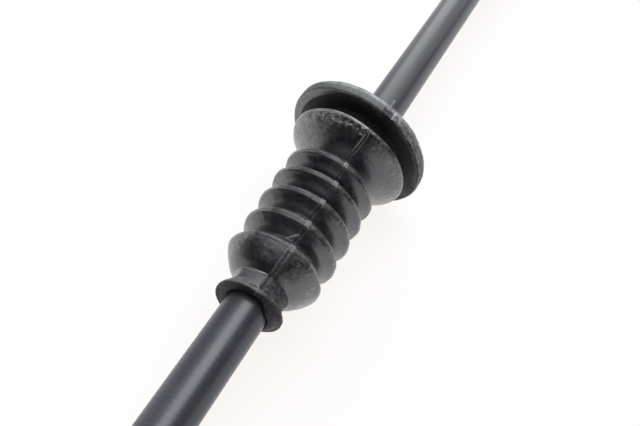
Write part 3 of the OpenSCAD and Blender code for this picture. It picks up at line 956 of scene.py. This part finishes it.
# %% Where the flange's edge is polished, scraped and pale
def edge_marks(place, x, r, u, patch):
    edge = hump(x, HALF + 0.95, 1.0) * (r > FLANGE_R - 0.35)
    left = edge * eased_step(u, 0.0, 0.2) * (1 - 0.45 * eased_step(u, 5, 11))
    right = 0.22 * edge * eased_step(-u, 1.6, 2.2)
    fading = 1 - 0.45 * eased_step(-u, 2.0, 4.0) - eased_step(-u, 9.0, 15.0)
    rear = hump(x, HALF + 1.27, 0.17) * (r > FLANGE_R - 0.5)
    rear = rear * np.clip(fading, 0, 1) * faded(u, 5.5, 10.0)
    spot = (x > HALF + 0.05) & (r > FLANGE_R - 0.5)
    spot = spot * eased_step(-u, 1.2, 1.5) * faded(-u, 2.1, 2.5)
    spot = spot * blotches(place, 0.35, 7.0, 0.5, 2.0)
    ring = between(x, HALF + 0.08, HALF + 1.75) & (r > FLANGE_R - 1.0)
    recess = ring & between(u, -1.25, 0.05)
    scraped = ring & between(u, -21, -2.3)
    matt_left = ring & between(u, 0, 19)
    return {"wear": left + right * patch, "bare": left,
            "dust": 0.25 * recess + 0.62 * scraped * (1 - 0.6 * eased_step(-u, 9, 13)),
            "pale": 0.945 * rear + 0.5 * spot + 0.06 * left,
            "scuff": ring * (eased_step(-u, 1.5, 2.5) + 0.2 * (u > 0)),
            "dull": recess | scraped | matt_left}


# %% Shoulder, groove and flange
def flange_marks(x, r, a):
    place = (x, r * np.sin(a), r * np.cos(a))
    u = off_seam(a, r, x)
    bowl = (x < -0.95) & (r > 7.28 + 0.8 * x)
    patch = blotches(place, 1.8, 3.0, 0.45, 1.5)
    parts = (bowl_marks(bowl, place, x, r, u, patch), groove_marks(x, r, u, patch),
             edge_marks(place, x, r, u, patch))
    found = {}
    for mark in ("wear", "dust", "bare", "pale", "scuff", "dull"):
        found[mark] = np.clip(sum(part[mark] * 1.0 for part in parts if mark in part), 0, 1)
    return {**found, "seam": seam_mark(x, r, a) * bowl}


flange = lathe("panel_flange", flange_line, "flange", angles=rubber_angles,
               shape=flange_shape, marks=flange_marks, settle=relaxed)
dress(flange, "grommet_flange", rubber)
two_tone(flange, dull_rubber)

# %% [markdown]
# ### Loose flash
#
# Two scraps of flash stand away from the moulding line: a thin leaf in the first valley and a barb
# on the flange's edge. Each is a short strip that tapers to a point. A curve with a flat bevel
# would do for one strip, but a mesh takes the marks of the rubber. The leaf follows the lean of the
# bellows, and the barb rides on the flange.

# %% A strip of flash along a path, with its widths
def scrap(name, path, widths, thickness, side, pale):
    points, faces = [], []
    side = Vector(side).normalized()
    across = (Vector(path[-1]) - Vector(path[0])).cross(side).normalized() * thickness / 2
    for p, w in zip(path, widths):
        p = Vector(p)
        points += [p - side * w + across, p + side * w + across,
                   p + side * w - across, p - side * w - across]
    end = 4 * (len(path) - 1)
    for k in range(0, end, 4):
        for j in range(4):
            n = (j + 1) % 4
            faces.append([k + j, k + n, k + 4 + n, k + 4 + j])
    faces += [[3, 2, 1, 0], [end, end + 1, end + 2, end + 3]]
    piece = make_piece(name, [tuple(q) for q in points], faces, None, 30)
    settle_mesh(piece)
    paint(piece, dull_rubber)
    add_mark(piece, "pale", np.full(len(piece.data.vertices), pale))
    return piece


def on_rubber(x, r, degrees):
    a = math.radians(degrees)
    x, y, z = relaxed(np.array(x), np.array(r * math.sin(a)), np.array(r * math.cos(a)))
    return float(x), float(y), float(z)


# %% The leaf
leaf_spine = flowing([
    (-18.2, 4.2), (-18.3, 4.95), (-18.85, 5.16), (-19.25, 5.2), (-19.55, 5.2)], 3)
leaf_turn = flowing([(0, -25.6), (1, -24.3), (2, -20.0), (3, -17.2), (4, -14.8)], 3)
leaf_path = [on_rubber(x, r, turn) for (x, r), (_, turn) in zip(leaf_spine, leaf_turn)]
leaf_width = [0.02 + 0.095 * math.sin(math.pi * min(1, 0.12 + 0.88 * t)) ** 0.8
              for t in np.linspace(0, 1, len(leaf_path))]
leaf = scrap("flash_leaf", leaf_path, leaf_width, 0.07, (0.6, 0.1, 0.8), 0.30)
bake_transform(leaf)

# %% The barb
barb_steps = np.linspace(0, 1, 8)
barb_path = [on_rubber(2.2 + 0.50 * t, FLANGE_R - 0.1 + 0.95 * t, -27.8 + 0.6 * t)
             for t in barb_steps]
barb_width = [0.30 * (1 - t) ** 2 + 0.10 * (1 - t) + 0.05 for t in barb_steps]
barb = scrap("flash_barb", barb_path, barb_width, 0.22, (1, 0, 0), 1.0)
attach(barb, "flange")

# %% [markdown]
# ## The hand end
#
# The fittings are turned on a lathe in life and here. Each profile is the solid's outline with its
# corners eased, and a shape function adds what a solid leaves out: knurls, crimps and fine grooves.
# Knurls are cut as real grooves, because a bump can't change the outline of an edge.

# %% Knurl, and a short way to turn a fitting
KNURL_RUN_OUT, KNURL_GROOVE = 0.2, 0.27


def knurl(x, a, x0, x1, count, depth):
    across = np.abs((a * count / (2 * math.pi)) % 1.0 - 0.5)
    groove = np.clip(1 - across / KNURL_GROOVE, 0, 1)
    ends = np.clip((x - x0) / KNURL_RUN_OUT, 0, 1) * np.clip((x1 - x) / KNURL_RUN_OUT, 0, 1)
    return depth * groove * ends


def fitting(name, node, line, body, material, ease=0.12, step=0.3, count=144, closed=True,
            shape=None, upright=None):
    soft = stepped(eased(line, ease, 3, closed), step, closed)
    piece = lathe(name, soft, body, count, closed, shape, upright=upright)
    return dress(piece, node, material)


# %% [markdown]
# ### Thumb button and plunger rod
#
# The thumb presses the button's dished face, and the rod behind it carries the push into the
# barrel. The dish could be cut with a Boolean ball, but the lathe tool leaves fine rings in it too,
# so the shape function makes the dish and the rings together. The rod is plain ground steel.

# %% Thumb button, with a dished face and a milled edge
BUTTON_FACE, DISH_R, RING_PITCH = -124.0, 4.9, 0.42


def button_shape(x, r, a):
    face = (x < BUTTON_FACE + 0.05) & (r < DISH_R)
    rings = 0.012 * np.cos(2 * math.pi * r / RING_PITCH) * (r > 0.4)
    dish = 0.16 * (1 - (r / DISH_R) ** 2) + rings
    edge = knurl(x, a, BUTTON_FACE + 0.65, BUTTON_FACE + 2.05, 60, 0.12) * (r > 5)
    return x + np.where(face, dish, 0), r - edge, a


fitting("thumb_button_turned", "thumb_button", [
    (-124, 0), (-124, 5.05), (-123.5, 5.6), (-121.8, 5.6), (-121.3, 5.2), (-120.6, 3.1),
    (-120, 2.9), (-117.3, 2.9), (-117, 2.6), (-117, 1.5), (-122.4, 1.5), (-122.4, 0)],
    "plunger", nickel, 0.18, 0.13, 480, closed=False, shape=button_shape)

# %% Plunger rod
fitting("plunger_rod_ground", "plunger_rod", [
    (-122.4, 0), (-122.4, 1.25), (-122.15, 1.5), (-78.85, 1.5), (-78.6, 1.25), (-78.6, 0.6),
    (-84, 0.6), (-84, 0)], "plunger", steel, 0.08, 1.0, 64, closed=False)

# %% [markdown]
# ### Return spring
#
# The spring is one wire wound seven times. A curve with a bevel would give the same tube, but here
# the wire is swept as a mesh: a ring of points at each step, square to the way the wire runs.

# %% Return spring
HUB_X, SEAT_X = -117.0, -100.7
WIRE_R, COIL_R, TURNS, PER_TURN, ROUND = 0.3, 2.25, 7, 36, 12
SLIDE, SPRING_GAP = 10.0, 0.02


def spring_mesh():
    start, end = HUB_X + WIRE_R + SPRING_GAP, SEAT_X - WIRE_R - SPRING_GAP
    angles = np.linspace(0, 2 * math.pi * TURNS, TURNS * PER_TURN + 1)
    rise = (end - start) / angles[-1]
    centre, along = [], []
    for t in angles:
        y, z = COIL_R * math.cos(t), COIL_R * math.sin(t)
        centre.append(Vector((start + rise * t, y, z)))
        along.append(Vector((rise, -z, y)).normalized())
    centre = [centre[0] - along[0] * 2 * WIRE_R, *centre, centre[-1] + along[-1] * 2 * WIRE_R]
    along = [along[0], *along, along[-1]]
    points = []
    for c, d in zip(centre, along):
        e = d.cross(Vector((1, 0, 0))).normalized()
        g = d.cross(e)
        points += [tuple(c + WIRE_R * (math.cos(w) * e + math.sin(w) * g))
                   for w in np.linspace(0, 2 * math.pi, ROUND, endpoint=False)]
    last = (len(centre) - 1) * ROUND
    faces = [[k + j, k + (j + 1) % ROUND, k + ROUND + (j + 1) % ROUND, k + ROUND + j]
             for k in range(0, last, ROUND) for j in range(ROUND)]
    faces += [list(range(ROUND))[::-1], [last + j for j in range(ROUND)]]
    return points, faces


spring = make_piece("return_spring_wound", *spring_mesh(), "cable")
settle_mesh(spring)
dress(spring, "return_spring", spring_steel)
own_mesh(spring)
print("spring, free length", SEAT_X - HUB_X, "mm")

# %% [markdown]
# ### Cap, finger plate and barrel
#
# Two fingers pull on the plate while the thumb pushes. It is a dished ring with two flats, which
# stop the part from rolling. Its edge is rolled over, and the roll follows the flats: the sweep is
# squeezed inwards where they lie. Cutting the flats off a round plate would be quicker, but it
# would leave the edge raw there. The barrel behind it guides the rod, and the cap keeps the spring
# out of the barrel.

# %% Barrel cap
def cap_shape(x, r, a):
    return x, r - knurl(x, a, -101.1, -99.2, 24, 0.3) * (r > 4.3), a


fitting("barrel_cap_knurled", "barrel_cap", [
    (-100.7, 1.55), (-100.7, 3.05), (-101.7, 3.05), (-101.7, 4.2), (-101.3, 4.6), (-99.0, 4.6),
    (-98.6, 4.2), (-98.6, 3.3), (-100.1, 3.3), (-100.1, 1.55)],
    "cable", nickel, 0.12, 0.2, 240, shape=cap_shape)

# %% Finger plate
PLATE_R, FLAT, HUB_R, CORNER = 13.0, 9.0, 6.0, 24.0


def plate_shape(x, r, a):
    flat_reach = FLAT / np.maximum(np.abs(np.cos(a)), 0.02)
    reach = (PLATE_R**-CORNER + flat_reach**-CORNER) ** (-1 / CORNER)
    squeezed = HUB_R + (r - HUB_R) * (reach - HUB_R) / (PLATE_R - HUB_R)
    return x, np.where(r > HUB_R, squeezed, r), a


fitting("finger_plate_pressed", "finger_plate", [
    (-98.6, 3.32), (-98.6, 6), (-98.2, 10.5), (-97.5, 12.1), (-97.1, 12.8), (-96.5, 13),
    (-96.1, 12.8), (-95.9, 12.3), (-96.2, 11.8), (-96.8, 10.5), (-97, 6), (-97, 3.32)],
    "cable", nickel, 0.3, 0.35, 320, shape=plate_shape)

# %% Barrel
TOOL_PITCH = 0.4


def barrel_shape(x, r, a):
    grip = between(x, -83.2, -75.6) & (r > 4)
    return x, r - 0.035 * (0.5 + 0.5 * np.cos(2 * math.pi * x / TOOL_PITCH)) * grip, a


barrel = fitting("barrel_turned", "barrel", [
    (-100, 1.55), (-100, 2.9), (-99.6, 3.3), (-97, 3.3), (-97, 5.1), (-96.7, 5.4), (-95.2, 5.4),
    (-94.9, 5.1), (-94.7, 4.6), (-94.1, 4.6), (-93.8, 4.5), (-86.6, 4.5), (-86.4, 4.35),
    (-85.8, 4.35), (-85.5, 4.6), (-84.7, 4.6), (-84.4, 4.35), (-83.8, 4.35), (-83.6, 4.5),
    (-75, 4.35), (-66.4, 3.95), (-65.6, 3.95), (-65.2, 4.3), (-62.4, 4.3), (-62, 4.0), (-62, 3.2),
    (-86, 3.2), (-86, 1.55)],
    "cable", nickel, 0.1, 0.1, 128, shape=barrel_shape)

# %% [markdown]
# ### Boss and lock screw
#
# The screw clamps the rod, to hold the shutter open. It stands in a small boss on the barrel. The
# boss could be joined on with a Boolean, but a foot that is bent down to the barrel's roundness
# looks soldered and keeps both meshes clean. The hole through the barrel's wall is drilled with a
# Boolean, the plain way to make a hole across a sweep.

# %% Boss, with a foot that follows the barrel
SCREW_X, BOSS_TOP, BARREL_R, SCREW_HOLE_R = -90.5, 5.9, 4.5, 1.25


def boss_shape(z, r, a):
    lateral = r * np.cos(a)
    drop = BARREL_R - np.sqrt(np.maximum(BARREL_R**2 - lateral**2, 4))
    return z - drop * faded(z, 4.2, 5.4), r, a


fitting("screw_boss", "barrel", [
    (BOSS_TOP, SCREW_HOLE_R), (BOSS_TOP, 2.4), (5.0, 2.4), (4.7, 2.5), (4.5, 2.8), (4.35, 3.0),
    (3.7, 2.7), (3.7, SCREW_HOLE_R)],
    "cable", nickel, 0.15, 0.15, 96, shape=boss_shape, upright=(SCREW_X, 0))

# %% Drill the barrel for the lock screw
drill = lathe("drill", [(1.5, 0), (1.5, SCREW_HOLE_R), (8, SCREW_HOLE_R), (8, 0)], "cable", 48,
              closed=False, upright=(SCREW_X, 0))
cut = barrel.modifiers.new("screw_hole", "BOOLEAN")
cut.object = drill
cut.solver = "EXACT"
bpy.context.view_layer.objects.active = barrel
bpy.ops.object.modifier_apply(modifier=cut.name)
bpy.data.objects.remove(drill, do_unlink=True)
paint(barrel, nickel)
print("barrel after drilling", len(barrel.data.vertices), "points")


# %% Lock screw
def lock_shape(z, r, a):
    grip = knurl(z, a, 6.75, 8.85, 16, 0.26) * (r > 2.4)
    dish = 0.2 * np.clip(1 - (r / 1.9) ** 2, 0, 1) * (z > 9.2)
    return z - dish, r - grip, a


fitting("lock_screw_knurled", "lock_screw", [
    (1.9, 0), (1.9, 0.8), (2.3, 1.2), (6.3, 1.2), (6.3, 2.3), (6.7, 2.7), (8.9, 2.7), (9.3, 2.3),
    (9.3, 0)],
    "lock", nickel, 0.1, 0.14, 192, closed=False, shape=lock_shape,
    upright=(SCREW_X, 0))

# %% [markdown]
# ### Hand ferrule
#
# The ferrule is a sleeve that is pressed into the barrel and grips the sheath. Stacked cylinders
# would look the same from outside, but one swept profile leaves no walls inside.

# %% Hand ferrule
fitting("hand_ferrule_turned", "hand_ferrule", [
    (-68, 1.0), (-68, 3.0), (-67.8, 3.2), (-62, 3.2), (-62, 3.9), (-61.8, 4.1), (-61.2, 4.1),
    (-61, 3.9), (-60.6, 3.2), (-52.2, 3.2), (-52, 3.0), (-52, 2.5), (-66, 2.5), (-66, 1.0)],
    "cable", nickel, 0.1, 0.5)

# %% [markdown]
# ### Strain reliefs
#
# A rubber sleeve with rings at each end keeps the sheath from kinking where it enters the metal.
# The rings get thinner along the sheath, so that it bends little by little. An Array modifier would
# repeat one ring, but they all differ, so the profile lists them.

# %% Strain reliefs
fitting("hand_relief_ribbed", "hand_strain_relief", [
    (-60.4, 3.2), (-60.4, 4.1), (-60.1, 4.25), (-58.9, 4.25), (-58.6, 3.85), (-58, 3.85),
    (-57.7, 4.1), (-56.7, 4.05), (-56.4, 3.7), (-55.8, 3.7), (-55.5, 3.95), (-54.5, 3.85),
    (-54.2, 3.5), (-53.6, 3.5), (-53.3, 3.75), (-52.3, 3.65), (-52, 3.3), (-51.4, 3.25),
    (-51.1, 3.5), (-50.1, 3.4), (-49.8, 3.1), (-49.2, 3.05), (-48.9, 3.25), (-47.9, 3.15),
    (-47.5, 2.9), (-46.4, 2.8), (-46.2, 2.65), (-46.2, 2.5), (-52, 2.5), (-52, 3.2)],
    "cable", rubber, 0.14, 0.3, 96)
fitting("tip_relief_ribbed", "tip_strain_relief", [
    (50.2, 2.5), (50.2, 2.65), (50.4, 2.8), (51.5, 2.9), (51.9, 3.15), (52.9, 3.25), (53.2, 3.05),
    (53.8, 3.1), (54.1, 3.4), (55.1, 3.5), (55.4, 3.25), (56, 3.3), (56.3, 3.65), (57.3, 3.75),
    (57.6, 3.5), (58.2, 3.5), (58.5, 3.85), (59.5, 3.95), (59.8, 3.7), (60.4, 3.7), (60.7, 4.05),
    (61.7, 4.1), (62, 3.85), (62.6, 3.85), (62.9, 4.1), (64.1, 4.1), (64.4, 3.95), (64.4, 3.2),
    (56, 3.2), (56, 2.5)],
    "cable", rubber, 0.14, 0.3, 96)

# %% [markdown]
# ## The camera tip
#
# The ferrule is crimped on the sheath and carries a plain journal. The knurled nut turns on it,
# held by a spring clip, and the tapered nose turns with the nut, so that the tip screws in without
# twisting the sheath. The pin slides in the nose. Six dies have pressed the ferrule in, and six
# Boolean rods could do the same, but with sharp rims, so the shape function makes soft hollows.

# %% Tip ferrule, crimped with six dies
def ferrule_shape(x, r, a):
    die = 0.14 * np.clip(np.cos(6 * a), 0, 1) * hump(x, 69.9, 0.75) * (r > 3.5)
    return x, r - die, a


fitting("tip_ferrule_crimped", "tip_ferrule", [
    (56, 2.5), (56, 3.0), (56.2, 3.2), (64.6, 3.2), (65, 3.9), (65.2, 4.1), (66, 4.1), (66.2, 3.9),
    (66.4, 3.4), (67.4, 3.4), (67.6, 3.9), (67.8, 4.1), (71.7, 4.1), (71.9, 3.9), (71.9, 2.0),
    (74.05, 2.0), (74.05, 1.5), (74.75, 1.5), (74.75, 2.0), (75.0, 2.0), (75.2, 1.8), (75.2, 0.85),
    (70, 0.85), (70, 2.5)], "cable", nickel, 0.1, 0.2, 144, shape=ferrule_shape)

# %% Swivel nut
def nut_shape(x, r, a):
    return x, r - knurl(x, a, 73.95, 78.6, 28, 0.3) * (r > 4), a


fitting("swivel_nut_knurled", "swivel_nut", [
    (71.95, 2.05), (71.95, 4.0), (72.35, 4.4), (72.95, 4.4), (73.15, 4.15), (73.45, 4.15),
    (73.65, 4.4), (78.9, 4.4), (79.4, 3.9), (79.4, 2.6), (75.4, 2.6), (75.4, 3.0), (74, 3.0),
    (74, 2.05)], "swivel", nickel, 0.12, 0.2, 280, shape=nut_shape)

# %% [markdown]
# ### Threaded nose
#
# The brass nose screws into the camera's release socket. Its thread is a groove that the shape
# function cuts along a helix: where the groove is depends on how far along and how far round a
# point is. A Screw modifier would wind a straight thread, but this one is tapered.

# %% Threaded nose: a tapered right-hand thread
THREAD_PITCH, THREAD_DEPTH, THREAD_X0, THREAD_X1 = 0.5, 0.24, 80.5, 86.3


def nose_shape(x, r, a):
    turn = (x / THREAD_PITCH + a / (2 * math.pi)) % 1.0
    groove = np.clip(1 - np.abs(turn - 0.5) / 0.42, 0, 1) * THREAD_DEPTH
    ends = np.clip((x - THREAD_X0) / 0.35, 0, 1) * np.clip((THREAD_X1 - x) / 0.3, 0, 1)
    return x, r - np.where(r > 1.2, groove * ends, 0), a


fitting("threaded_nose_cut", "threaded_nose", [
    (75.41, 0.85), (75.41, 2.6), (79.4, 2.6), (79.4, 1.9), (80.4, 1.9), (80.5, 1.8), (86.2, 1.5),
    (86.6, 1.3), (86.6, 0.85)], "swivel", brass, 0.06, 0.05, 96, shape=nose_shape)

# %% Tip pin
fitting("tip_pin_domed", "tip_pin", [
    (70.4, 0), (70.4, 0.7), (70.5, 0.8), (85.9, 0.8), (86.08, 0.65), (86.17, 0.4), (86.2, 0)],
    "plunger", steel, 0.04, 0.8, 48, closed=False)

# %% [markdown]
# ### The inner parts
#
# The stop collar, conduit, liner, wire and swivel clip are hidden inside, and their solids already
# have the right shapes. They could be turned again, but that would add nothing, so they keep their
# solids and only get a finish.

# %% The inner parts keep their solids
inner = {"rod_stop_collar": brass, "conduit": spring_steel, "liner": liner_plastic,
         "inner_wire": steel, "swivel_clip": spring_steel}
for node, material in inner.items():
    paint(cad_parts[node], material)
    print(node, "in", material.name)

# %% [markdown]
# ## Floor and light
#
# The part lies on a white table in a pale room. Table and room are white to the camera and in
# reflections, and the table still takes the part's shadow. More lamps would whiten the table too,
# but they would wash out the part, so the light stays weak and only the direct view is white. Two
# large soft lamps stand high beyond the tip: a strong one, and a weaker one further off and lower,
# like a window. Three curved dark cards stand round the part, hidden from the camera and without a
# shadow: black rubber and bright metal both look flat unless they have something dark to reflect.

# %% A plain shape for the stage
def stage_piece(name, points, faces, material):
    mesh = bpy.data.meshes.new(name)
    mesh.from_pydata(points, [], faces)
    piece = bpy.data.objects.new(name, mesh)
    bpy.context.scene.collection.objects.link(piece)
    paint(piece, material)
    print("stage:", name)
    return piece


# %% Floor
FLOOR_HALF = 3.0
table = Recipe("table_white")
paper = table.node("BsdfDiffuse", {"Color": (0.86, 0.85, 0.84, 1)})
shade = table.node("BsdfDiffuse", {"Color": (0.10, 0.145, 0.175, 1)})
glow = table.node("Emission", {"Color": (0.92, 0.88, 0.855, 1), "Strength": 1.0})
white = table.node("AddShader", {0: shade.outputs[0], 1: glow.outputs[0]})
table_white = table.finish(table.node("MixShader", {
    0: table.seen_directly(), 1: paper.outputs[0], 2: white.outputs[0]}))
corners = [(-1, -1), (1, -1), (1, 1), (-1, 1)]
floor = stage_piece("table_top", [(FLOOR_HALF * u, FLOOR_HALF * v, 0) for u, v in corners],
                    [(0, 1, 2, 3)], table_white)
floor.location.z = cad_low.z

# %% World
world = bpy.data.worlds.new("studio")
bpy.context.scene.world = world
room = Recipe("studio", world, "OutputWorld")
dim = room.node("Background", {"Color": (0.97, 0.98, 1, 1), "Strength": 0.35})
bright = room.node("Background", {"Color": (1, 1, 1, 1), "Strength": 1.0})
room.finish(room.node("MixShader", {
    0: room.seen_directly(), 1: dim.outputs[0], 2: bright.outputs[0]}))
print("world:", world.name)

# %% Dark curved cards, hidden from the camera
CARD_REACH, CARD_FOOT, CARD_STEPS = 0.9, 0.01, 24
black = Recipe("card_black")
card_black = black.finish(black.node("BsdfDiffuse", {"Color": (0.02, 0.02, 0.02, 1)}))


def dark_card(name, start, end, top):
    turn = np.radians(np.linspace(start, end, CARD_STEPS + 1))
    points = [(CARD_REACH * math.cos(t), CARD_REACH * math.sin(t), z)
              for t in turn for z in (CARD_FOOT, top)]
    faces = [(2 * k, 2 * k + 1, 2 * k + 3, 2 * k + 2) for k in range(CARD_STEPS)]
    card = stage_piece(name, points, faces, card_black)
    card.visible_camera = card.visible_shadow = False


dark_card("dark_card_wide", 100, 320, 1.1)
dark_card("dark_card_low", 320, 332, 0.2)
dark_card("dark_card_narrow", 43, 66, 1.0)


# %% Lamps
LAMP_SIZE = 0.46
LAMP_AIM = Vector((-0.01, 0, 0))


def soft_lamp(name, place, power):
    data = bpy.data.lights.new(name, "AREA")
    data.shape = "DISK"
    data.size = LAMP_SIZE
    data.energy = power
    lamp = bpy.data.objects.new(name, data)
    bpy.context.scene.collection.objects.link(lamp)
    lamp.location = place
    lamp.rotation_euler = (LAMP_AIM - Vector(place)).to_track_quat("-Z", "Y").to_euler()
    print("lamp:", name, power, "W")


soft_lamp("soft_box", (0.22, -0.115, 0.54), 2.1)
soft_lamp("window", (0.63, 0.19, 0.35), 1.2)

# %% [markdown]
# ## View
#
# The view is plain, so that a tone in a recipe comes out as that tone.

# %% View
bpy.context.scene.view_settings.view_transform = "Standard"
